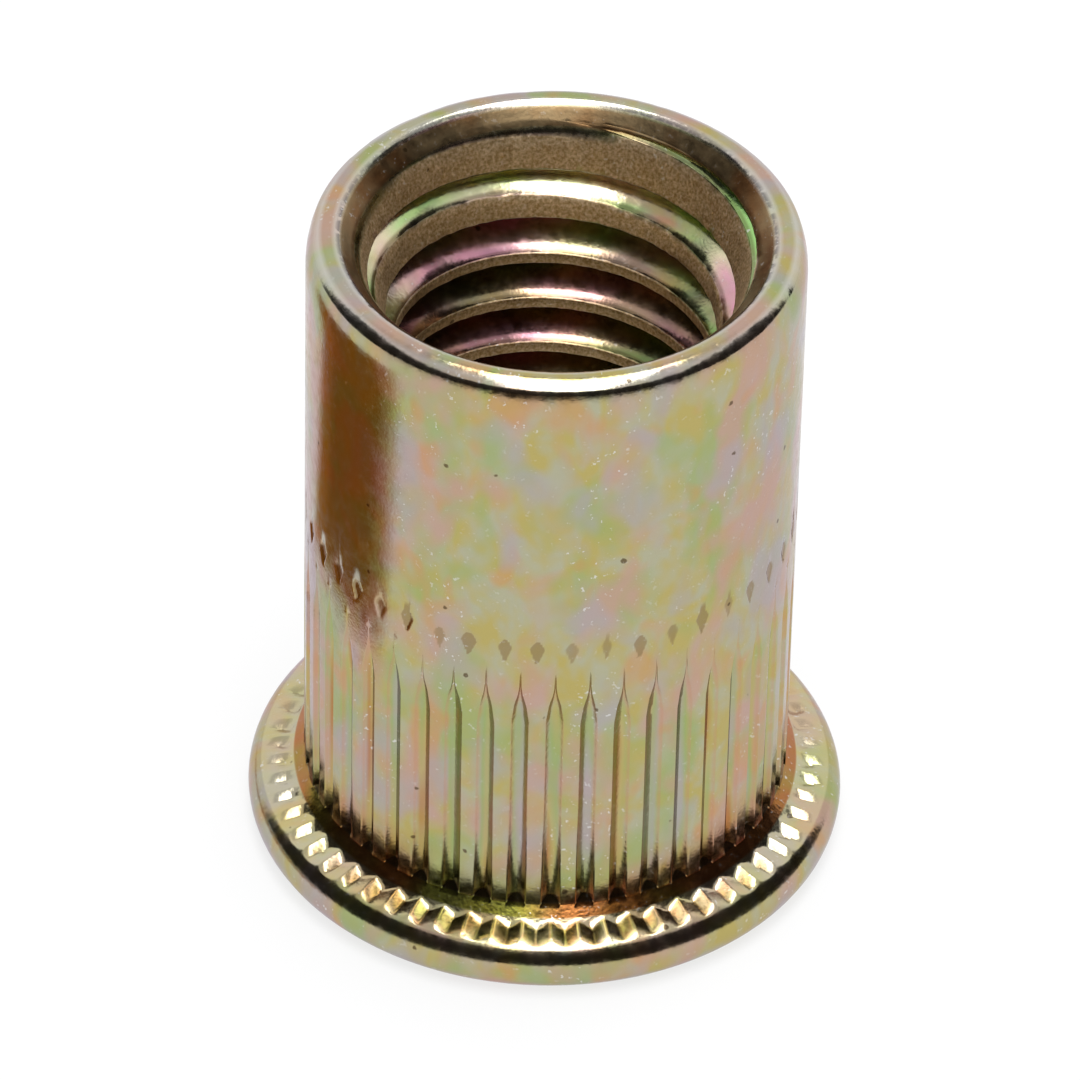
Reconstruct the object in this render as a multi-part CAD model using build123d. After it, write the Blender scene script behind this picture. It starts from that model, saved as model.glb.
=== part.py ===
"""Rivet nut (blind threaded insert) for an M10 screw, with a knurled shank and a serrated flange.

One piece of steel, cold formed, turned and rolled.  It stands on its flange: the flange's flat face
is at z = 0, the axis is Z and the threaded end is up.  All sizes are in millimetres.
"""
from build123d import *
import os
from math import cos, radians, sin, tan

# shank and flange
body_radius = 6.5
total_height = 19.4
flange_radius = 8.0
flange_thickness = 1.65
flange_lower_edge = 0.8
foot_width = 0.32
foot_height = 0.27

# the face of the flange falls away in a shallow bevel, then rounds over to the widest point
bevel_start_radius = 7.3
bevel_end_radius = 7.63
bevel_slope = 20.0

# rim at the threaded end, with a short wide chamfer and a long taper that leads the thread in
rim_edge = 0.5
mouth_radius = 5.62
lead_in_radius = 5.12
mouth_angle = 45.0
lead_in_angle = 21.0

# bore: the core of the M10 x 1.5 thread, then the thin-walled part that folds when the nut is set
thread_core_radius = 4.188
thread_bottom = 9.4
clearance_radius = 5.4
bore_step_angle = 45.0
entry_chamfer = 0.3

# rolled grooves of the knurl: (height, half width at the surface, depth) from the foot to the point
groove_count = 45
groove_half_width = 0.25
groove_depth = 0.3
groove_bottom = flange_thickness + foot_height
groove_shoulder = 8.2
groove_stations = [
    (groove_bottom, groove_half_width, groove_depth),
    (groove_shoulder, groove_half_width, groove_depth),
    (8.75, 0.17, 0.21),
    (9.15, 0.065, 0.1),
    (9.95, 0.025, 0.03),
]
floor_share = 0.45

# small drop-shaped marks of the knurling tool, one above each land
mark_middle = 10.7
mark_depth = 0.08
mark_outline = [(-0.11, 0.26), (0.11, 0.26), (0.18, 0.08), (0, -0.42), (-0.18, 0.08)]
mark_floor_scale = 0.5

# radial serrations on the face of the flange
serration_count = 60
serration_depth = 0.11
serration_inner_radius = body_radius + foot_width
serration_phase = 5.0

# how far the groove cutters stand out past the shank
clear = 0.2


def drop(wide_radius, narrow_radius, angle_to_axis):
    """Height that a cone takes to narrow from one radius to the other."""
    return (wide_radius - narrow_radius) / tan(radians(angle_to_axis))


def turned_blank():
    """The plain turned piece: flange, foot, shank, rim, threaded bore and clearance bore."""
    bevel_drop = (bevel_end_radius - bevel_start_radius) * tan(radians(bevel_slope))
    bevel_end = (bevel_end_radius, flange_thickness - bevel_drop)
    upper_edge = (flange_radius - bevel_end_radius) / (1 - sin(radians(bevel_slope)))
    widest_height = bevel_end[1] - upper_edge * cos(radians(bevel_slope))
    lead_in_top = total_height - drop(mouth_radius, lead_in_radius, mouth_angle)
    lead_in_end = lead_in_top - drop(lead_in_radius, thread_core_radius, lead_in_angle)
    step_end = thread_bottom - drop(clearance_radius, thread_core_radius, bore_step_angle)
    with BuildPart() as blank:
        with BuildSketch(Plane.XZ):
            with BuildLine():
                start = (clearance_radius + entry_chamfer, 0)
                under = Line(start, (flange_radius - flange_lower_edge, 0))
                lower_edge = JernArc(under @ 1, (1, 0), flange_lower_edge, 90)
                widest = Line(lower_edge @ 1, (flange_radius, widest_height))
                rounding = JernArc(widest @ 1, (0, 1), upper_edge, 90 - bevel_slope)
                bevel = Line(rounding @ 1, (bevel_start_radius, flange_thickness))
                face = Line(bevel @ 1, (body_radius + foot_width, flange_thickness))
                foot = Line(face @ 1, (body_radius, groove_bottom))
                shank = Line(foot @ 1, (body_radius, total_height - rim_edge))
                rim = JernArc(shank @ 1, (0, 1), rim_edge, 90)
                crown = Line(rim @ 1, (mouth_radius, total_height))
                mouth = Line(crown @ 1, (lead_in_radius, lead_in_top))
                lead_in = Line(mouth @ 1, (thread_core_radius, lead_in_end))
                core = Line(lead_in @ 1, (thread_core_radius, thread_bottom))
                step = Line(core @ 1, (clearance_radius, step_end))
                clearance = Line(step @ 1, (clearance_radius, entry_chamfer))
                Line(clearance @ 1, start)
            make_face()
        revolve(axis=Axis.Z)
    return blank.part


def groove_section(height, half_width, depth):
    """A trapezoid across one groove, open outwards past the shank's surface."""
    floor = half_width * floor_share
    mouth = half_width + (half_width - floor) * clear / depth
    inner, outer = body_radius - depth, body_radius + clear
    corners = [(inner, -floor), (outer, -mouth), (outer, mouth), (inner, floor)]
    return make_face(Polyline(*[(x, y, height) for x, y in corners], close=True))


def groove_cutter():
    """A straight groove whose upper end narrows in an ogee to a fine point."""
    return loft([groove_section(*station) for station in groove_stations], ruled=True)


def mark_section(radius, scale):
    corners = [(radius, scale * across, mark_middle + scale * up) for across, up in mark_outline]
    return make_face(Polyline(*corners, close=True))


def mark_cutter():
    """A shallow drop, blunt at the top, with sides that slope in to a smaller floor."""
    slope = (1 - mark_floor_scale) / mark_depth
    sections = [mark_section(body_radius - mark_depth, mark_floor_scale),
                mark_section(body_radius + mark_depth, mark_floor_scale + 2 * mark_depth * slope)]
    return loft(sections, ruled=True)


def serration_section(radius, slant):
    """A V as wide as one pitch; its point lies further out than its corners by the slant."""
    half_width = radius * tan(radians(180 / serration_count))
    depth = serration_depth * radius / bevel_start_radius
    corners = [(radius, -half_width, flange_thickness), (radius, half_width, flange_thickness),
               (radius + slant * depth, 0, flange_thickness - depth)]
    return make_face(Polyline(*corners, close=True))


def serration_cutter():
    """A radial V that starts on the slope of the foot and runs out through the bevel."""
    sections = [serration_section(serration_inner_radius, foot_width / foot_height),
                serration_section(flange_radius, 0)]
    return loft(sections, ruled=True)


def around(shape, count, phase=0.0):
    """Copies of a shape at equal angles about Z."""
    return [Rot(0, 0, phase + i * 360 / count) * shape for i in range(count)]


def rivet_nut():
    cutters = around(groove_cutter(), groove_count)
    cutters += around(mark_cutter(), groove_count, phase=180 / groove_count)
    cutters += around(serration_cutter(), serration_count, phase=serration_phase)
    return turned_blank() - cutters


os.makedirs("parts", exist_ok=True)
nut = rivet_nut()
nut.label = "rivet_nut"
export_step(nut, "parts/rivet_nut.step")
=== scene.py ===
"""Rivet nut: visual model, materials, studio and camera, in millimetres except where a note says metres."""
import random
from math import cos, pi, radians, sin, tan

import bmesh
import bpy
from mathutils import Matrix, Vector, noise


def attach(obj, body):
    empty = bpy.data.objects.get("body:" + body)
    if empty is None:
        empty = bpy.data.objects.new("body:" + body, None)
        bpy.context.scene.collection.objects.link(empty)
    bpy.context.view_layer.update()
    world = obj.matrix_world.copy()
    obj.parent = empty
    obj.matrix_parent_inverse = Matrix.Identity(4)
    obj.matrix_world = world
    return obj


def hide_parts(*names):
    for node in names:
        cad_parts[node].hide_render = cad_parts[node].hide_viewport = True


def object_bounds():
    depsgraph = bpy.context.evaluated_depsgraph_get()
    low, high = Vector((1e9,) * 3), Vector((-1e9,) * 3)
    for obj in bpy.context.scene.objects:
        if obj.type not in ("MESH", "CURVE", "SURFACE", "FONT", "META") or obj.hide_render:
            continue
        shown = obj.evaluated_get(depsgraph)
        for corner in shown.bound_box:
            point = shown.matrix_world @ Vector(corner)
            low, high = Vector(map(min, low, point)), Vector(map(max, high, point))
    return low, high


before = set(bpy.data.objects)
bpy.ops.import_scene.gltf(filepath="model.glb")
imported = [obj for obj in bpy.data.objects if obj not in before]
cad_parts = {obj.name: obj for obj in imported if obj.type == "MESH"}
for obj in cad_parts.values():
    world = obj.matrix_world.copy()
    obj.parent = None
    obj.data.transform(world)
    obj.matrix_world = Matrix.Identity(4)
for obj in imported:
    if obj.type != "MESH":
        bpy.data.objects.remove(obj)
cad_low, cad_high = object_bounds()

MM = 0.001
HEIGHT = cad_high.z / MM
FLANGE_R = min(cad_high.x, cad_high.y, -cad_low.x, -cad_low.y) / MM
BODY_R = 6.5
RNG = random.Random(11)

# columns of the mesh: 16 to each groove and 12 to each serration outside, a quarter as many in the bore
OUTER_COLUMNS = 720
COARSER = 4
BORE_COLUMNS = OUTER_COLUMNS // COARSER
COLUMN_ANGLE = 360 / OUTER_COLUMNS

# flange: a fully rounded edge and a band that falls outward, with 60 radial serrations
FLANGE_EDGE = 0.8
LOWER_EDGE_STEPS = 8
UPPER_EDGE_STEPS, UPPER_EDGE_STEP = 7, 7.0
BAND_SLOPE = radians(11)
BAND_RADII = (7.69, 7.65, 7.61, 7.56, 7.5, 7.43, 7.36, 7.28, 7.18, 7.06, 6.94, 6.85, 6.8, 6.76, 6.72, 6.69)
BOTTOM_RADII = (5.9, 6.6)
TEETH = 60
TOOTH_PITCH = 360 / TEETH
TOOTH_PHASE = 5.0
TOOTH_FORM = 1.15
VALLEY_R, VALLEY_Z, VALLEY_SLOPE = 6.8, 1.55, radians(5.5)

# foot: a cone up to the shank, and a ledge where the lands begin and the grooves run out in domes
FOOT_TOP, FOOT_SLOPE = 1.96, radians(41.4)
FOOT_STEPS = (0.17, 0.08)
LAND_EDGE, DOME_RISE = 0.03, 0.24
DOME_STEPS = [(0.0, 0.0), (0.5, 0.5), (1.0, 1.0), (1.0, 1.5)]
GROOVE_START = FOOT_TOP + 0.3

# knurl: rolled grooves that close in an ogee point, and one tool mark above each land
GROOVES = 45
GROOVE_PITCH = 360 / GROOVES
PER_GROOVE = OUTER_COLUMNS // GROOVES
GROOVE_HALF, GROOVE_DEPTH = 0.25, 0.18
GROOVE_FLOOR = 1.75
SHOULDER, TIP = 8.2, 9.95
# from shoulder to tip: (way along, share of the half width, share of the depth)
OGEE = [(0.0, 1.0, 1.0), (0.32, 0.68, 0.7), (0.54, 0.26, 0.33), (0.68, 0.12, 0.2), (1.0, 0.06, 0.07)]
# where the columns stand between a groove's centre and its lip
GROOVE_SPREAD = (0.0, 0.3, 0.58, 0.81, 0.95, 1.05)
MARK_Z, MARK_DEPTH, MARK_HALF = 10.7, 0.045, 0.23
MARK_TOP, MARK_SHOULDER, MARK_POINT = 0.34, 0.08, -0.42
RELIEF = 0.004

# heights of the shank's rings
GROOVE_HEIGHTS = [2.9, 4.6, 6.4, 8.0] + [8.15 + 0.12 * i for i in range(17)]
MARK_HEIGHTS = [10.22 + 0.07 * i for i in range(13)]
UPPER_HEIGHTS = (11.5, 12.8, 14.2, 15.6, 17.0, 17.9)

# rim and mouth: (radius of curvature, inclination of the surface's normal at its end) from the wall inward
RIM_CURVES = [(2.0, 20), (0.31, 47.5), (0.64, 90), (0.38, 137)]
KNOCK_DEPTH = 0.03
MOUTH_R, LEAD_R, CORE_R = 5.7, 5.14, 4.188
MOUTH_TAN, LEAD_TAN = tan(radians(43)), tan(radians(21))
GRID_TOP_R = 5.33
SHARP_ANGLE = radians(32)

# thread: M10 x 1.5, belled out where the tap entered, with its corners a little torn
PITCH = 1.5
CREST_FLAT = 0.36
CREST_PHASE = 1.78
FLANK_ANGLE = radians(30)
ROOT_R, ROOT_BELL, THREAD_FLARE = 5.16, 0.1, 0.2
TAP_ENTRY_Z, TAP_ENTRY_LENGTH = 17.6, 1.2
CORNER_DROP, CORNER_WIDTH = 0.02, 0.03
TORN, TORN_REACH, TORN_LAND = 0.03, 0.12, 0.2
ROOT_GAP = 0.01
ROWS_PER_TURN = 14

# below the thread: the thin-walled part that folds when the nut is set
THREAD_END = 9.4
CLEARANCE_R = 5.4
CLEARANCE_TOP = THREAD_END - (CLEARANCE_R - CORE_R)
ENTRY = 0.3


def mix(a, b, t):
    return a + (b - a) * t


def clamp(x, low=0.0, high=1.0):
    return max(low, min(high, x))


def smooth(x):
    x = clamp(x)
    return x * x * (3 - 2 * x)


def wobble(scale, *place):
    """Smooth noise between about -1 and 1."""
    return noise.noise(Vector(place) / scale)


def polar(angle, radius, z):
    return Vector((radius * cos(radians(angle)), radius * sin(radians(angle)), z))


def ring(point):
    """One ring of the outer mesh; point gives (angle, radius, height) for a column."""
    return [polar(*point(column)) for column in range(OUTER_COLUMNS)]


def even_ring(radius, z):
    return ring(lambda column: (column * COLUMN_ANGLE, radius, z))


# ---------------------------------------------------------------- shank

class Groove:
    """One rolled groove; no two come out of the tool quite alike."""

    def __init__(self):
        self.aside = RNG.uniform(-0.12, 0.12)
        self.half = GROOVE_HALF * RNG.uniform(0.94, 1.05)
        self.depth = GROOVE_DEPTH * RNG.uniform(0.93, 1.04)
        self.tip = TIP + RNG.uniform(-0.14, 0.12)
        self.shoulder = SHOULDER + RNG.uniform(-0.15, 0.15)

    def size(self, z):
        """(half width, depth) at a height."""
        t = clamp((z - self.shoulder) / (self.tip - self.shoulder))
        for (t0, w0, d0), (t1, w1, d1) in zip(OGEE, OGEE[1:]):
            if t <= t1:
                s = (t - t0) / (t1 - t0)
                return self.half * mix(w0, w1, s), self.depth * mix(d0, d1, s)


class Mark:
    """A drop-shaped dent of the tool, blunt above and tapering below."""

    def __init__(self, index):
        self.centre = (index + 0.5) * GROOVE_PITCH + RNG.uniform(-0.4, 0.4)
        self.z = MARK_Z + RNG.uniform(-0.08, 0.08)
        self.depth = MARK_DEPTH * RNG.choice((0.4, 0.7, 0.9, 1.0))
        self.half = MARK_HALF * RNG.uniform(0.85, 1.15)

    def dent(self, angle, z):
        up = z - self.z
        if up < MARK_SHOULDER:
            half = self.half * clamp((up - MARK_POINT) / (MARK_SHOULDER - MARK_POINT))
        else:
            half = self.half * clamp((MARK_TOP - up) / (MARK_TOP - MARK_SHOULDER)) ** 0.5
        across = abs(radians(angle - self.centre)) * BODY_R
        return self.depth * smooth(2 * (1 - across / half)) if across < half else 0.0


grooves = [Groove() for _ in range(GROOVES)]
marks = [Mark(i) for i in range(GROOVES)]
tooth_depths = [RNG.uniform(0.88, 1.12) for _ in range(TEETH)]
ridge_shifts = [RNG.uniform(-0.3, 0.3) for _ in range(TEETH)]


def relief(angle, z):
    """The slight unevenness of a rolled surface."""
    a = radians(angle)
    return RELIEF * wobble(1.6, BODY_R * cos(a), BODY_R * sin(a), z * 0.6)


def shank_point(column, z, follow=1.0):
    """(angle, depth of the groove, share of its full depth), with the columns drawn to the groove's lips."""
    index = round(column / PER_GROOVE)
    groove = grooves[index % GROOVES]
    k = column - index * PER_GROOVE
    side = 1 if k >= 0 else -1
    half, depth = groove.size(z)
    lip = half / BODY_R * 180 / pi
    last = len(GROOVE_SPREAD) - 1
    if abs(k) <= last:
        x = GROOVE_SPREAD[abs(k)]
        drawn = groove.aside + side * x * lip
        share = max(0.0, 1 - x ** GROOVE_FLOOR) if z <= groove.tip else 0.0
    else:
        edge = groove.aside + side * GROOVE_SPREAD[last] * lip
        drawn = mix(edge, side * GROOVE_PITCH / 2, (abs(k) - last) / (PER_GROOVE / 2 - last))
        share = 0.0
    return mix(column * COLUMN_ANGLE, index * GROOVE_PITCH + drawn, follow), depth * share, share


def dome_point(column, reach, up):
    """On the ledge: reach goes in from the shank's surface to the groove's floor, up rises to the dome."""
    angle, dent, share = shank_point(column, GROOVE_START)
    return angle, BODY_R - dent * reach, FOOT_TOP + up * mix(LAND_EDGE, DOME_RISE, share)


def groove_point(column, z):
    angle, dent, _ = shank_point(column, z)
    return angle, BODY_R - dent + relief(angle, z), z


def mark_point(column, z, follow):
    angle, _, _ = shank_point(column, z, follow)
    mark = marks[int(angle % 360 // GROOVE_PITCH)]
    return angle, BODY_R - mark.dent(angle % 360, z) + relief(angle, z), z


def plain_point(column, z):
    angle = column * COLUMN_ANGLE
    return angle, BODY_R + relief(angle, z), z


def foot_height(radius):
    return FOOT_TOP - (radius - BODY_R) * tan(FOOT_SLOPE)


def foot_rings():
    """The foot's slope and, above it, the lands' edges and the domes where the grooves run out, which the
    material darkens as painted shade.
    """
    for out in FOOT_STEPS:
        yield even_ring(BODY_R + out, foot_height(BODY_R + out))
    for reach, up in DOME_STEPS:
        yield ring(lambda column: dome_point(column, reach, up))


def shank_rings():
    """Up the grooves and past the tool marks, where the columns come back to even spacing, to the rim."""
    for z in GROOVE_HEIGHTS:
        yield ring(lambda column: groove_point(column, z))
    for z in MARK_HEIGHTS:
        follow = 0.5 if z == MARK_HEIGHTS[0] else 0.0
        yield ring(lambda column: mark_point(column, z, follow))
    for z in UPPER_HEIGHTS:
        yield ring(lambda column: plain_point(column, z))


# ---------------------------------------------------------------- flange

def tooth_angle(column):
    """Even columns, moved a little so that no two ridges stand at quite the same distance."""
    angle = column * COLUMN_ANGLE
    place = (angle - TOOTH_PHASE) / TOOTH_PITCH
    index, part = int(place // 1) % TEETH, place % 1
    return angle + mix(ridge_shifts[index], ridge_shifts[(index + 1) % TEETH], part)


def band_height(radius):
    """The flange's upper side before it was serrated: rounded edge, then the gently falling band."""
    band_end = FLANGE_R - FLANGE_EDGE * (1 - sin(BAND_SLOPE))
    if radius > band_end:
        across = radius - (FLANGE_R - FLANGE_EDGE)
        return FLANGE_EDGE + (FLANGE_EDGE ** 2 - across ** 2) ** 0.5
    return FLANGE_EDGE * (1 + cos(BAND_SLOPE)) + (band_end - radius) * tan(BAND_SLOPE)


def flange_height(column, radius):
    """Height with the serrations: ridges between valleys that run out on the rounded edge."""
    band = band_height(radius)
    place = (column * COLUMN_ANGLE - TOOTH_PHASE) / TOOTH_PITCH
    nearest = round(place)
    ridge = abs(place - nearest) * 2
    floor = VALLEY_Z - (radius - VALLEY_R) * tan(VALLEY_SLOPE)
    depth = max(0.0, band - floor) * tooth_depths[nearest % TEETH]
    return max(foot_height(radius), band - depth * (1 - ridge) ** TOOTH_FORM)


def flange_rings():
    """From the clearance bore's edge out along the bottom, round the edge and in over the top."""
    for radius in BOTTOM_RADII:
        yield even_ring(radius, 0.0)
    for i in range(LOWER_EDGE_STEPS + 1):
        a = pi / 2 * i / LOWER_EDGE_STEPS
        yield even_ring(FLANGE_R - FLANGE_EDGE * (1 - sin(a)), FLANGE_EDGE * (1 - cos(a)))
    for i in range(1, UPPER_EDGE_STEPS + 1):
        a = radians(UPPER_EDGE_STEP * i)
        yield even_ring(FLANGE_R - FLANGE_EDGE * (1 - cos(a)), FLANGE_EDGE * (1 + sin(a)))
    for radius in BAND_RADII:
        yield ring(lambda column: (tooth_angle(column), radius, flange_height(column, radius)))


# ---------------------------------------------------------------- rim

def rim_profile():
    """(radius, height) from the wall over the crown to the mouth's chamfer, worked out from the crown."""
    to_crown = RIM_CURVES[:3]
    starts = [0] + [end for _, end in RIM_CURVES[:-1]]
    rises = [r * (sin(radians(end)) - sin(radians(start))) for (r, end), start in zip(to_crown, starts)]
    radius, z = BODY_R, HEIGHT - sum(rises)
    profile = [(radius, z)]
    for (r, end), start in zip(RIM_CURVES, starts):
        steps = 3 if r > 1 else 4
        for i in range(steps):
            a, b = (radians(mix(start, end, (i + k) / steps)) for k in (0, 1))
            radius, z = radius - r * (cos(a) - cos(b)), z + r * (sin(b) - sin(a))
            profile.append((radius, z))
    return profile


def nick(column, z):
    """Small knocks along the edges of the rim."""
    a = radians(column * COLUMN_ANGLE)
    rough = wobble(0.35, 6 * cos(a), 6 * sin(a), z) * 0.5 + wobble(0.9, 6 * cos(a), 6 * sin(a), 8.0)
    return -KNOCK_DEPTH * clamp(rough)


def rim_rings():
    profile = rim_profile()
    for i, (radius, z) in enumerate(profile):
        share = sin(pi * i / (len(profile) - 1))
        yield ring(lambda column: (column * COLUMN_ANGLE, radius + nick(column, z) * share, z))
    low = profile[-1][0]
    for radius in (mix(low, GRID_TOP_R, 0.4), GRID_TOP_R + 0.04):
        yield even_ring(radius, HEIGHT - (MOUTH_R - radius) / MOUTH_TAN)


# ---------------------------------------------------------------- bore

def mouth_radius(z):
    """The chamfer and the long taper that lead into the thread."""
    below = HEIGHT - z
    lead_top = (MOUTH_R - LEAD_R) / MOUTH_TAN
    return max(MOUTH_R - below * MOUTH_TAN, LEAD_R - (below - lead_top) * LEAD_TAN)


def tap_entry(z):
    """0 in the body of the thread, rising to 1 near the mouth."""
    return clamp((z - TAP_ENTRY_Z) / TAP_ENTRY_LENGTH)


def turned_radius(z):
    """The bore before it was tapped: mouth, core and the step to the clearance bore."""
    return max(mouth_radius(z), CORE_R, min(CLEARANCE_R, CORE_R + THREAD_END - z))


def thread_radius(crest, away):
    """Radius of the cut thread at a height away from a crest's middle; it opens a little at the mouth."""
    flare = THREAD_FLARE * tap_entry(crest + away)
    return CORE_R + (abs(away) - CREST_FLAT / 2) / tan(FLANK_ANGLE) + flare


def flank_end(crest, side):
    """Distance from a crest's middle at which its flank meets the turned surface, found by halving."""
    near, far = 0.0, PITCH / 2
    if thread_radius(crest, side * far) <= turned_radius(crest + side * far):
        return far
    for _ in range(24):
        middle = (near + far) / 2
        if thread_radius(crest, side * middle) > turned_radius(crest + side * middle):
            far = middle
        else:
            near = middle
    return far


def thread_turn(angle, crest):
    """(height, radius) down one turn: flank, crest and flank, with corners a little torn by the tap."""
    root = PITCH / 2 - ROOT_GAP
    upper, lower = min(root, flank_end(crest, 1)), min(root, flank_end(crest, -1))
    above, below = (clamp((root - end) / TORN_LAND) for end in (upper, lower))
    inner_upper, inner_lower = upper - CORNER_WIDTH, lower - CORNER_WIDTH
    rows = [(mix(upper, root, t), 0.0) for t in (1.0, 0.8, 0.5, 0.25, 0.08)]
    rows += [(upper, CORNER_DROP * above), (inner_upper, 0.0)]
    rows += [(mix(inner_upper, -inner_lower, t), 0.0) for t in (0.33, 0.67)]
    rows += [(-inner_lower, 0.0), (-lower, CORNER_DROP * below)]
    rows += [(-mix(lower, root, t), 0.0) for t in (0.1, 0.5, 0.9)]
    for away, pulled in rows:
        z = crest + away
        turned, cut = turned_radius(z), thread_radius(crest, away)
        uneven = 0.5 + wobble(0.22, 4 * cos(radians(angle)), 4 * sin(radians(angle)), z * 0.5)
        corner = clamp(1 - abs(cut - turned) / TORN_REACH) * (above if away > 0 else below)
        root_radius = ROOT_R + ROOT_BELL * tap_entry(z)
        yield z, max(turned, min(root_radius, cut)) + pulled + TORN * corner * uneven


def bore_line(angle, top, bottom):
    """Points down the bore at one angle; the turns that lie past its ends are held at the ends."""
    lowest = int((bottom - CREST_PHASE) // PITCH) - 2
    highest = int((top - CREST_PHASE) // PITCH) + 2
    line = []
    for turn in range(highest, lowest - 1, -1):
        crest = CREST_PHASE + PITCH * (turn + (angle - 90) / 360)
        for z, radius in thread_turn(angle, crest):
            if z > top or z < bottom:
                z = clamp(z, bottom, top)
                radius = turned_radius(z)
            line.append(polar(angle, radius, z))
    return line


def add_thread(points, faces):
    """A helical grid: its rows follow the thread, and one turn on they meet the next turn's rows."""
    top, bottom = HEIGHT - (MOUTH_R - GRID_TOP_R) / MOUTH_TAN, CLEARANCE_TOP + 0.04
    start = len(points)
    lines = [bore_line(column * 360 / BORE_COLUMNS, top, bottom) for column in range(BORE_COLUMNS)]
    rows = len(lines[0])
    for line in lines:
        points.extend(line)

    def at(column, row):
        if column == BORE_COLUMNS:
            column, row = 0, row - ROWS_PER_TURN
        return start + column * rows + int(clamp(row, 0, rows - 1))

    for column in range(BORE_COLUMNS):
        for row in range(rows - 1 + ROWS_PER_TURN):
            faces.append((at(column, row), at(column, row + 1), at(column + 1, row + 1), at(column + 1, row)))
    return [[at(column, row) for column in range(BORE_COLUMNS)] for row in (0, rows - 1)]


def add_clearance(points, faces, upper):
    """The plain bore below the thread, down to the chamfer at the flange's face."""
    profile = [(CLEARANCE_R, CLEARANCE_TOP), (CLEARANCE_R, 5.0), (CLEARANCE_R, 2.0), (CLEARANCE_R, ENTRY),
               (CLEARANCE_R + ENTRY * 0.5, ENTRY * 0.5), (CLEARANCE_R + ENTRY, 0.0)]
    for radius, z in profile:
        nodes = list(range(len(points), len(points) + BORE_COLUMNS))
        points.extend(polar(column * 360 / BORE_COLUMNS, radius, z) for column in range(BORE_COLUMNS))
        bridge(faces, upper, nodes)
        upper = nodes
    return upper


# ---------------------------------------------------------------- mesh

def bridge(faces, a, b):
    """Quads between two rings of the same count."""
    n = len(a)
    for i in range(n):
        j = (i + 1) % n
        faces.append((a[i], a[j], b[j], b[i]))


def stitch(faces, fine, coarse):
    """Triangles between a ring and one with a quarter of its points."""
    n = len(coarse)
    for i in range(n):
        near, far = coarse[i], coarse[(i + 1) % n]
        a, b, c, d, e = (fine[(COARSER * i + k) % len(fine)] for k in range(COARSER + 1))
        faces.extend([(a, b, near), (b, c, near), (c, far, near), (c, d, far), (d, e, far)])


def nut_surface():
    """(points, faces) of the whole skin: outside rings from the bottom over the rim, then down the bore."""
    points, faces, rings = [], [], []
    for circle in (*flange_rings(), *foot_rings(), *shank_rings(), *rim_rings()):
        rings.append(list(range(len(points), len(points) + OUTER_COLUMNS)))
        points.extend(circle)
        if len(rings) > 1:
            bridge(faces, rings[-2], rings[-1])
    top, bottom = add_thread(points, faces)
    stitch(faces, rings[-1], top)
    stitch(faces, rings[0], add_clearance(points, faces, bottom))
    return points, faces


def add_face(build, corners):
    """A face, unless the grid's ends have drawn it together to nothing or it is there already."""
    corners = list(dict.fromkeys(corners))
    if len(corners) > 2 and not build.faces.get(corners):
        build.faces.new(corners)


def nut_mesh():
    points, faces = nut_surface()
    mesh = bpy.data.meshes.new("nut_body")
    build = bmesh.new()
    verts = [build.verts.new(p * MM) for p in points]
    for face in faces:
        add_face(build, [verts[i] for i in face])
    bmesh.ops.remove_doubles(build, verts=build.verts, dist=2e-7)
    bmesh.ops.dissolve_degenerate(build, edges=build.edges, dist=1e-7)
    bmesh.ops.recalc_face_normals(build, faces=build.faces)
    build.to_mesh(mesh)
    build.free()
    mesh.polygons.foreach_set("use_smooth", [True] * len(mesh.polygons))
    mesh.set_sharp_from_angle(angle=SHARP_ANGLE)
    return mesh


nut = bpy.data.objects.new("nut_body", nut_mesh())
bpy.context.scene.collection.objects.link(nut)
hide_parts("rivet_nut")
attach(nut, "root")


# ---------------------------------------------------------------- materials

class Tree:
    """Short calls for building a node tree."""

    def __init__(self, tree):
        self.tree = tree
        tree.nodes.clear()

    def node(self, kind, inputs=None, **settings):
        made = self.tree.nodes.new("ShaderNode" + kind)
        for name, value in settings.items():
            setattr(made, name, value)
        for name, value in (inputs or {}).items():
            self.feed(made, name, value)
        return made

    def feed(self, node, name, value):
        socket = node.inputs[name]
        if isinstance(value, bpy.types.NodeSocket):
            self.tree.links.new(value, socket)
        else:
            socket.default_value = value

    def math(self, operation, a, b=0.0, clamped=False):
        return self.node("Math", {0: a, 1: b}, operation=operation, use_clamp=clamped).outputs[0]

    def times(self, first, *others):
        for other in others:
            first = self.math("MULTIPLY", first, other)
        return first

    def less(self, value):
        """What a mask leaves of 1."""
        return self.math("SUBTRACT", 1.0, value, clamped=True)

    def blend(self, factor, a, b):
        return self.node("MixRGB", {"Fac": factor, "Color1": a, "Color2": b}).outputs[0]

    def join(self, factor, a, b):
        """One shader where the factor is 0, the other where it is 1."""
        made = self.node("MixShader", {"Fac": factor})
        self.tree.links.new(a.outputs[0], made.inputs[1])
        self.tree.links.new(b.outputs[0], made.inputs[2])
        return made

    def moved(self, place, **settings):
        """The place scaled or shifted, which stretches or moves a pattern."""
        return self.node("Mapping", {"Vector": place, **settings}, vector_type="POINT").outputs[0]

    def noise(self, place, scale, detail, roughness):
        """Smooth noise; the place is in metres, so the scale counts waves to the metre."""
        inputs = {"Vector": place, "Scale": scale, "Detail": detail, "Roughness": roughness}
        return self.node("TexNoise", inputs).outputs["Fac"]

    def ramp(self, value, stops):
        made = self.node("ValToRGB", {"Fac": value})
        elements = made.color_ramp.elements
        while len(elements) < len(stops):
            elements.new(0.5)
        for element, (position, colour) in zip(elements, stops):
            element.position, element.color = position, colour
        return made.outputs["Color"]

    def between(self, value, low, high):
        """0 below low, 1 above high."""
        return self.node("MapRange", {"Value": value, "From Min": low, "From Max": high}).outputs["Result"]


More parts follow.
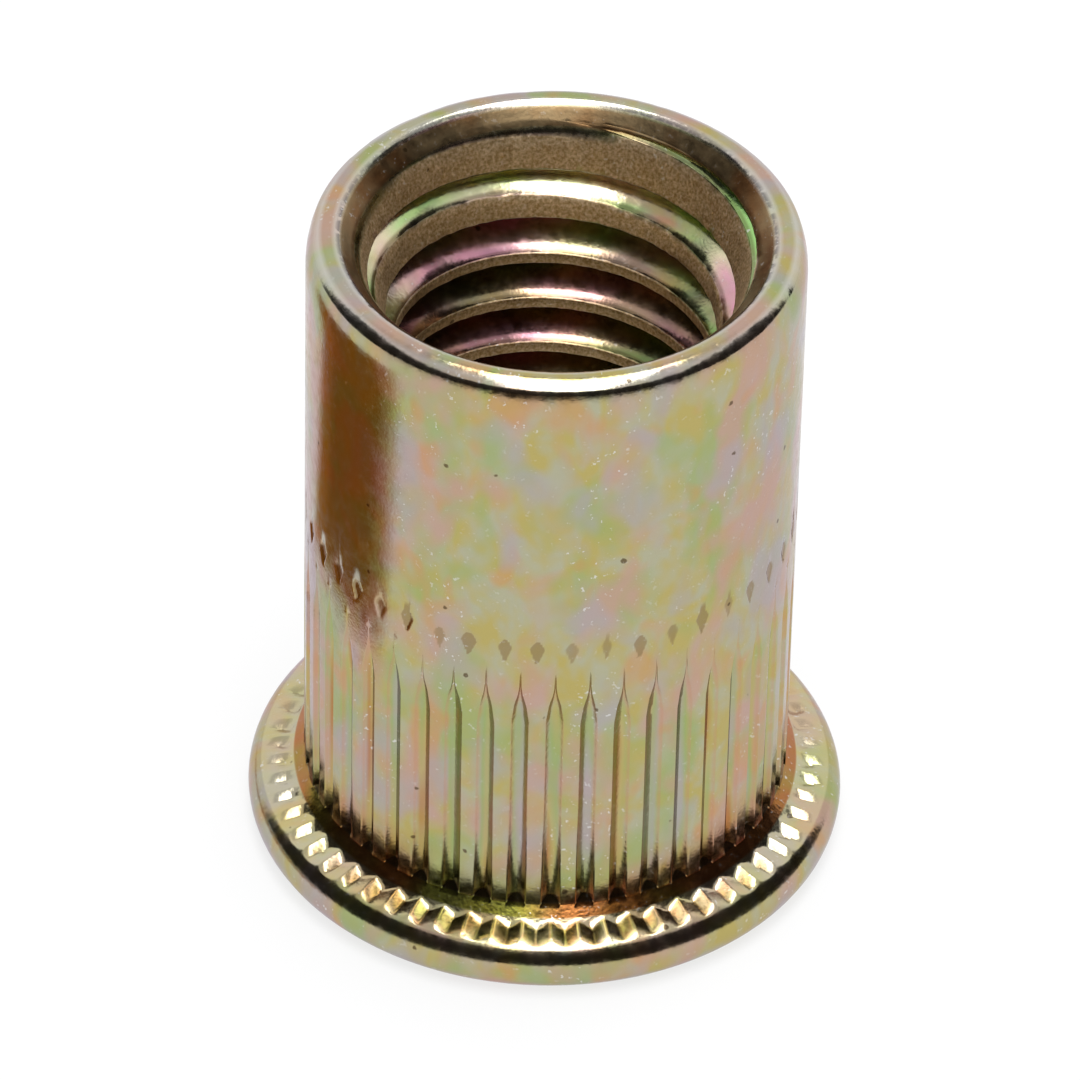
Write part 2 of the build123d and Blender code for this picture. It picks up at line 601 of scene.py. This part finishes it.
def rgb(red, green, blue):
    """Linear colour from 0-255 sRGB."""
    def channel(value):
        value /= 255
        return value / 12.92 if value <= 0.04045 else ((value + 0.055) / 1.055) ** 2.4
    return channel(red), channel(green), channel(blue), 1.0


# the passivated film outside
GREEN, PINK, SALMON = rgb(150, 168, 106), rgb(190, 152, 142), rgb(196, 146, 100)
GOLD, GREY, LILAC = rgb(180, 166, 102), rgb(174, 172, 144), rgb(168, 162, 166)
# where it is thick, in the grooves and on the foot, and where it is thin or worn; the pale straw tone is
# painted light on the serrations, the worn tone is partly painted highlight, and umber is also painted shade
# in the domes and at the thread's crests
OLIVE, RUST, ROSE = rgb(140, 140, 50), rgb(172, 104, 44), rgb(188, 140, 112)
PAINTED_TOOTH_LIGHT, WORN_AND_HIGHLIGHT, BARE = rgb(230, 220, 172), rgb(216, 214, 208), rgb(225, 224, 222)
MARK_BROWN, UMBER, SOOT = rgb(140, 118, 82), rgb(86, 66, 40), rgb(70, 66, 70)
# in the bore: flanks, turned skin and chamfer
CREAM, SHEEN_PINK, SHEEN_GREEN = rgb(222, 210, 176), rgb(226, 160, 186), rgb(160, 208, 128)
BRONZE, SAND, DARK_SAND = rgb(164, 130, 82), rgb(240, 216, 180), rgb(176, 148, 106)
CHAMFER_DARK, CHAMFER_PALE = rgb(132, 94, 58), rgb(150, 128, 94)
TINT = (0.82, 0.78, 0.84, 1.0)

# (lower, upper) height of each coloured zone outside, then the rim's crown and the bore's zones
KNURL_ZONE, ROOT_ZONE, MARK_ZONE = (1.88, 9.8), (1.88, 10.0), (10.1, 11.2)
CONE_ZONE, DOME_ZONE, TOOTH_ZONE, CROWN_ZONE = (1.7, 1.98), (1.94, 2.2), (1.44, 1.72), (19.1, 30.0)
CROWN_R = 5.96
CHAMFER_ZONE = (18.8, 18.9)
LEAD_TOP_Z = 18.81
BORE_EDGE = (5.56, 5.64)


def plated_steel():
    """Yellow passivated zinc: a metal with faint interference patches, scratches and pits."""
    material = bpy.data.materials.new("plated_steel")
    material.use_nodes = True
    t = Tree(material.node_tree)
    place = t.node("TexCoord").outputs["Object"]
    axis = t.node("SeparateXYZ", {0: place})
    level = t.times(axis.outputs["Z"], 1 / MM)
    flat = t.node("CombineXYZ", {"X": axis.outputs["X"], "Y": axis.outputs["Y"], "Z": 0.0}).outputs[0]
    radius = t.times(t.node("VectorMath", {0: flat}, operation="LENGTH").outputs["Value"], 1 / MM)
    fine = t.noise(place, 3000.0, 2.0, 0.7)
    grain = t.noise(place, 12000.0, 1.0, 0.6)
    bore = Bore(t, radius, level)
    film = Outside(t, place, radius, level).film(interference(t, place))
    film = bore.film(place, film, fine, grain)
    scratch, pit = wear(t, place, fine)
    colour = t.blend(t.times(pit, 0.8), film, UMBER)
    colour = t.blend(t.times(scratch, 0.6), colour, BARE)
    roughness = t.math("ADD", t.times(t.between(fine, 0.35, 0.65), 0.1), 0.13)
    roughness = t.math("ADD", roughness, t.times(bore.turned, 0.32))
    roughness = t.math("ADD", roughness, t.times(bore.chamfer, 0.16))
    height = t.math("ADD", t.times(grain, 0.3), t.times(fine, 0.6))
    height = t.times(height, t.math("ADD", 1.0, t.times(bore.turned, 3.0)))
    bump = t.node("Bump", {"Strength": 0.4, "Distance": 0.000012, "Height": height})
    shader = t.node("BsdfPrincipled", {"Base Color": colour, "Metallic": 1.0, "Roughness": roughness,
                                       "Specular Tint": TINT, "Normal": bump.outputs["Normal"]})
    t.node("OutputMaterial", {"Surface": shader.outputs[0]})
    return material


def interference(t, place):
    """Pastel clouds of the passivated film, each colour with clouds of its own, over finer mottling."""
    stretched = t.moved(place, Scale=(1.0, 1.0, 0.7))
    warp = t.node("TexNoise", {"Vector": stretched, "Scale": 900.0, "Detail": 0.0}).outputs["Color"]
    inputs = {"Fac": 0.0005, "Color1": stretched, "Color2": warp}
    warped = t.node("MixRGB", inputs, blend_type="ADD").outputs[0]

    def cloud(scale, low, high, shift):
        there = t.moved(warped, Location=(shift, shift * 0.7, -shift))
        return t.between(t.noise(there, scale, 2.0, 0.65), low, high)

    base = t.blend(cloud(1100.0, 0.38, 0.62, 0.011), GREY, GOLD)
    base = t.blend(t.times(cloud(420.0, 0.5, 0.62, 0.023), 0.65), base, GREEN)
    base = t.blend(t.times(cloud(470.0, 0.47, 0.62, 0.037), 0.75), base, PINK)
    base = t.blend(t.times(cloud(560.0, 0.56, 0.66, 0.052), 0.55), base, SALMON)
    return t.blend(t.times(cloud(460.0, 0.54, 0.66, 0.071), 0.6), base, LILAC)


class Outside:
    """Colours that go with the form outside: grooves, tool marks, foot, serrations and rim."""

    def __init__(self, t, place, radius, level):
        self.t, self.place, self.radius, self.level = t, place, radius, level
        self.depth = t.math("SUBTRACT", BODY_R, radius)

    def storey(self, zone, blur=0.2):
        """1 between two heights, with soft ends."""
        low, high = zone
        top = self.t.less(self.t.between(self.level, high, high + blur))
        return self.t.times(self.t.between(self.level, low, low + blur), top)

    def step(self, low, full, fade, gone):
        """1 between two depths below the shank's surface, with soft ends."""
        bottom = self.t.less(self.t.between(self.depth, fade, gone))
        return self.t.times(self.t.between(self.depth, low, full), bottom)

    def film(self, film):
        return self.worn_and_highlit_crown(self.serrations(self.foot(self.knurl(film))))

    def knurl(self, film):
        """Stripes along the grooves' floors, rosy lips and brown tool marks."""
        t = self.t
        zone = self.storey(KNURL_ZONE)
        long = t.moved(self.place, Scale=(2.2, 2.2, 0.22))
        stripes = t.ramp(t.noise(long, 700.0, 1.0, 0.5),
                         [(0.3, RUST), (0.42, GOLD), (0.52, GREEN), (0.66, LILAC)])
        film = t.blend(t.times(zone, t.between(self.depth, 0.08, 0.14), 0.7), film, stripes)
        film = t.blend(t.times(zone, self.step(0.012, 0.03, 0.06, 0.11), 0.3), film, ROSE)
        mark = t.times(self.storey(MARK_ZONE), self.step(0.005, 0.02, 0.3, 0.4), 0.7)
        return t.blend(mark, film, MARK_BROWN)

    def foot(self, film):
        """Olive and rust stains at the grooves' roots and on the cone, and umber painted shade in the domes
        where the grooves run out.
        """
        t = self.t
        patches = t.noise(self.place, 290.0, 2.0, 0.5)
        root = t.times(t.less(t.between(self.level, 2.0, 3.6)), t.between(self.depth, -0.03, 0.0),
                       self.storey(ROOT_ZONE), 0.6)
        film = t.blend(root, film, t.ramp(patches, [(0.4, OLIVE), (0.5, GOLD), (0.6, RUST)]))
        cone = t.times(self.storey(CONE_ZONE, 0.03), t.between(self.radius, 6.0, 6.2), 0.85)
        film = t.blend(cone, film, t.ramp(patches, [(0.42, OLIVE), (0.58, RUST)]))
        # painted shade: the domes where the grooves run out are darkened to umber
        dome = t.times(self.storey(DOME_ZONE, 0.04), self.step(0.01, 0.04, 0.24, 0.3), 0.75)
        return t.blend(dome, film, UMBER)

    def serrations(self, film):
        t = self.t
        # painted light: the serrations' film is lightened to a straw tone to stand in for the light the
        # facets catch
        painted_light_on_teeth = t.times(t.between(self.radius, 6.72, 6.8), self.storey(TOOTH_ZONE, 0.03), 0.3)
        return t.blend(painted_light_on_teeth, film, PAINTED_TOOTH_LIGHT)

    def worn_and_highlit_crown(self, film):
        """The film rubbed off both edges of the rim's crown, lightened there partly as real wear and partly
        as painted highlight.
        """
        t = self.t
        away = t.math("ABSOLUTE", t.math("SUBTRACT", self.radius, CROWN_R))
        # partly wear, partly painted highlight: whiter film where the softbox highlight falls on the crown's
        # edges
        return t.blend(t.times(self.storey(CROWN_ZONE), t.between(away, 0.1, 0.22), 0.5), film, WORN_AND_HIGHLIGHT)


class Bore:
    """Masks for the zones inside: chamfer, turned crests and lead-in cone, and the cut flanks."""

    def __init__(self, t, radius, level):
        self.t, self.radius, self.level = t, radius, level
        self.within = t.less(t.between(radius, *BORE_EDGE))
        lead_in = t.math("ADD", t.times(level, LEAD_TAN), LEAD_R - LEAD_TOP_Z * LEAD_TAN)
        beyond = t.math("SUBTRACT", radius, t.math("MAXIMUM", lead_in, CORE_R))
        below = t.less(t.between(level, *CHAMFER_ZONE))
        cut = t.between(beyond, 0.01, 0.04)
        self.turned = t.times(t.less(cut), below, self.within)
        # a band on the flanks just past the crests, darkened in the film as painted shade along the crests'
        # edges
        self.corner = t.times(cut, t.less(t.between(beyond, 0.08, 0.13)), below, self.within)
        self.chamfer = t.times(t.less(below), self.within)

    def flanks(self, place, film, cloud):
        """Bright streaks with a green and pink sheen, turning darker brown further down the bore."""
        t = self.t
        streak = t.moved(place, Scale=(0.35, 0.35, 2.2))
        sheen = t.ramp(t.noise(streak, 520.0, 1.0, 0.5),
                       [(0.38, SHEEN_PINK), (0.48, CREAM), (0.6, SHEEN_GREEN)])
        flank = t.blend(t.between(t.noise(streak, 900.0, 2.0, 0.6), 0.35, 0.6), film, sheen)
        deep = t.less(t.between(self.level, 14.6, 16.4))
        return t.blend(t.times(deep, 0.6), flank, t.blend(cloud, BRONZE, UMBER))

    def film(self, place, film, fine, grain):
        t = self.t
        cloud = t.between(t.noise(place, 560.0, 2.0, 0.6), 0.4, 0.6)
        flank = self.flanks(place, film, cloud)
        edge = t.times(t.between(self.radius, 5.5, 5.6), t.less(t.between(self.radius, 5.66, 5.76)),
                       t.between(fine, 0.36, 0.5), 0.6)
        film = t.blend(self.within, t.blend(edge, film, SOOT), flank)
        film = t.blend(self.turned, film, t.blend(t.between(grain, 0.3, 0.8), DARK_SAND, SAND))
        # painted shade: a dark umber line along the crests' edges
        film = t.blend(t.times(self.corner, 0.5), film, UMBER)
        return t.blend(self.chamfer, film, t.blend(cloud, CHAMFER_DARK, CHAMFER_PALE))


def wear(t, place, fine):
    """Masks of short scratches that lie in groups, and of dark pits."""
    group = t.between(t.noise(t.moved(place, Scale=(1.0, 1.0, 0.45)), 460.0, 1.0, 0.5), 0.52, 0.64)
    fleck = t.between(t.noise(place, 6000.0, 2.0, 0.7), 0.64, 0.69)
    scratch = t.times(t.math("ADD", group, 0.25, clamped=True), fleck)
    cells = t.node("TexVoronoi", {"Vector": place, "Scale": 1500.0, "Randomness": 1.0})
    rare = t.between(t.node("SeparateXYZ", {0: cells.outputs["Color"]}).outputs["X"], 0.82, 0.84)
    reach = t.times(t.between(fine, 0.3, 0.7), 0.14)
    pit = t.less(t.between(t.math("SUBTRACT", cells.outputs["Distance"], reach), 0.0, 0.04))
    return scratch, t.times(rare, pit)


nut.data.materials.append(plated_steel())


# ---------------------------------------------------------------- studio

# floor and lamp are in metres
FLOOR_SIZE, FLOOR_PALE, FLOOR_GLOW = 1.6, (0.86, 0.86, 0.86, 1.0), 0.75
LAMP_SIZE, LAMP_PLACE, LAMP_POWER = (0.15, 0.31), (0.015, -0.035, 0.3), 0.85
# the dim surround: its reach either side of the camera and its rise above the floor, in degrees
SURROUND_R, SURROUND_REACH, SURROUND_RISE = 230.0, 118, (1, 53)
SURROUND_DIM = (0.018, 0.016, 0.015, 1)
# the brown card: sectors of a flat ring, each with its first angle, its last angle and its colour
CARD_INNER, CARD_OUTER, CARD_Z = 15.8, 45.0, 0.3
CARD_SECTORS = [
    (148, 151, (0.42, 0.27, 0.12, 1)),
    (151, 160, (0.3, 0.12, 0.02, 1)),
    (160, 193, (0.2, 0.085, 0.02, 1)),
    (193, 198, (0.3, 0.16, 0.1, 1)),
    (198, 202, (0.48, 0.36, 0.3, 1)),
]
# what the camera and the metal see overhead, by the upward part of the direction; the rest is even light
BACKDROP = [(0.76, (1.0, 1.0, 1.0, 1.0)), (0.86, (0.62, 0.62, 0.64, 1.0))]
SOFT_LIGHT, SOFT_STRENGTH = (0.9, 0.92, 0.95, 1), 0.7


def card(name, points, faces, colour, seen):
    """A matt stage piece; an unseen one stays out of the picture and throws no shadow."""
    mesh = bpy.data.meshes.new(name)
    mesh.from_pydata(points, [], faces)
    made = bpy.data.objects.new(name, mesh)
    bpy.context.scene.collection.objects.link(made)
    material = bpy.data.materials.new(made.name)
    material.use_nodes = True
    t = Tree(material.node_tree)
    shader = t.node("BsdfPrincipled", {"Base Color": colour, "Roughness": 0.9, "Specular IOR Level": 0.0})
    t.node("OutputMaterial", {"Surface": shader.outputs[0]})
    mesh.materials.append(material)
    made.visible_camera = made.visible_shadow = made.visible_diffuse = seen
    return made


def bent_sheet(name, angles, distances, columns, rows, colour):
    """A hidden sheet round the nut; distances gives (radius, height) for a share of the way across it."""
    points, faces = [], []
    for i in range(columns + 1):
        for j in range(rows + 1):
            radius, z = distances(j / rows)
            points.append(polar(mix(*angles, i / columns), radius, z) * MM)
    for i in range(columns):
        for j in range(rows):
            k = i * (rows + 1) + j
            faces.append((k, k + 1, k + rows + 2, k + rows + 1))
    return card(name, points, faces, colour, seen=False)


def brown_card():
    """A dark piece that lies left behind the nut, out of the picture, and shows as a strip in the shank."""
    def distances(share):
        return mix(CARD_INNER, CARD_OUTER, share), CARD_Z

    for start, end, colour in CARD_SECTORS:
        bent_sheet("brown_card", (start, end), distances, 6, 1, colour)


def dark_surround():
    """The dim side of the room behind the camera, as a bent sheet from low down to well up."""
    def distances(share):
        rise = radians(mix(*SURROUND_RISE, share))
        return SURROUND_R * cos(rise), SURROUND_R * sin(rise)

    bent_sheet("dark_surround", (-90 - SURROUND_REACH, -90 + SURROUND_REACH), distances, 24, 8, SURROUND_DIM)


def seen_directly(t):
    """1 for the camera's rays and for what metal or glass shows."""
    path = t.node("LightPath")
    direct = t.math("ADD", path.outputs["Is Camera Ray"], path.outputs["Is Glossy Ray"], clamped=True)
    return t.math("ADD", direct, path.outputs["Is Transmission Ray"], clamped=True)


def white_floor():
    """A pale floor: plain white to the camera except where the nut darkens it."""
    half = FLOOR_SIZE / 2
    corners = [(-half, -half, 0), (half, -half, 0), (half, half, 0), (-half, half, 0)]
    floor = card("floor", corners, [(0, 1, 2, 3)], FLOOR_PALE, seen=True)
    t = Tree(floor.data.materials[0].node_tree)
    diffuse = t.node("BsdfDiffuse", {"Color": FLOOR_PALE})
    glow = t.node("Emission", {"Color": (1, 1, 1, 1), "Strength": 1.0})
    final = t.join(seen_directly(t), diffuse, t.join(FLOOR_GLOW, diffuse, glow))
    t.node("OutputMaterial", {"Surface": final.outputs[0]})


def softbox():
    lamp = bpy.data.lights.new("overhead_softbox", "AREA")
    lamp.shape = "RECTANGLE"
    lamp.size, lamp.size_y = LAMP_SIZE
    lamp.energy = LAMP_POWER
    box = bpy.data.objects.new("overhead_softbox", lamp)
    bpy.context.scene.collection.objects.link(box)
    box.location = LAMP_PLACE


def surroundings():
    """White low down and greyer overhead where it is seen, and one even soft light for the rest."""
    world = bpy.data.worlds.new("studio")
    bpy.context.scene.world = world
    world.use_nodes = True
    t = Tree(world.node_tree)
    rise = t.node("SeparateXYZ", {0: t.node("TexCoord").outputs["Generated"]}).outputs["Z"]
    seen = t.node("Background", {"Color": t.ramp(rise, BACKDROP), "Strength": 1.0})
    soft = t.node("Background", {"Color": SOFT_LIGHT, "Strength": SOFT_STRENGTH})
    t.node("OutputWorld", {"Surface": t.join(seen_directly(t), soft, seen).outputs[0]})


white_floor()
dark_surround()
brown_card()
softbox()
surroundings()


# ---------------------------------------------------------------- camera

# fitted to the ellipses of the rim and the flange in the photograph; the lengths go by the shank's radius
ELEVATION, ROLL = radians(39.97), radians(1.33)
DISTANCE, LOOK_HEIGHT, ASIDE, ABOVE = 39.41 * BODY_R, 1.2 * BODY_R, -0.0378 * BODY_R, 0.1539 * BODY_R
FOCAL = 321.5


def camera():
    """A long lens from the front at about 40 degrees above the floor, rolled by a degree."""
    data = bpy.data.cameras.new("camera")
    data.sensor_width, data.lens = 36.0, FOCAL
    data.clip_start, data.clip_end = 0.01, 5.0
    eye = Vector((0, -DISTANCE * cos(ELEVATION), LOOK_HEIGHT + DISTANCE * sin(ELEVATION)))

    def axes(forward):
        right = forward.cross(Vector((0, 0, 1))).normalized()
        up = right.cross(forward)
        return right * cos(ROLL) + up * sin(ROLL), up * cos(ROLL) - right * sin(ROLL)

    target = Vector((0, 0, LOOK_HEIGHT))
    right, up = axes((target - eye).normalized())
    forward = (target + right * ASIDE + up * ABOVE - eye).normalized()
    right, up = axes(forward)
    made = bpy.data.objects.new("camera", data)
    bpy.context.scene.collection.objects.link(made)
    turn = Matrix((right, up, -forward)).transposed()
    made.matrix_world = Matrix.Translation(eye * MM) @ turn.to_4x4()
    bpy.context.scene.camera = made


camera()
bpy.context.scene.view_settings.view_transform = "Standard"
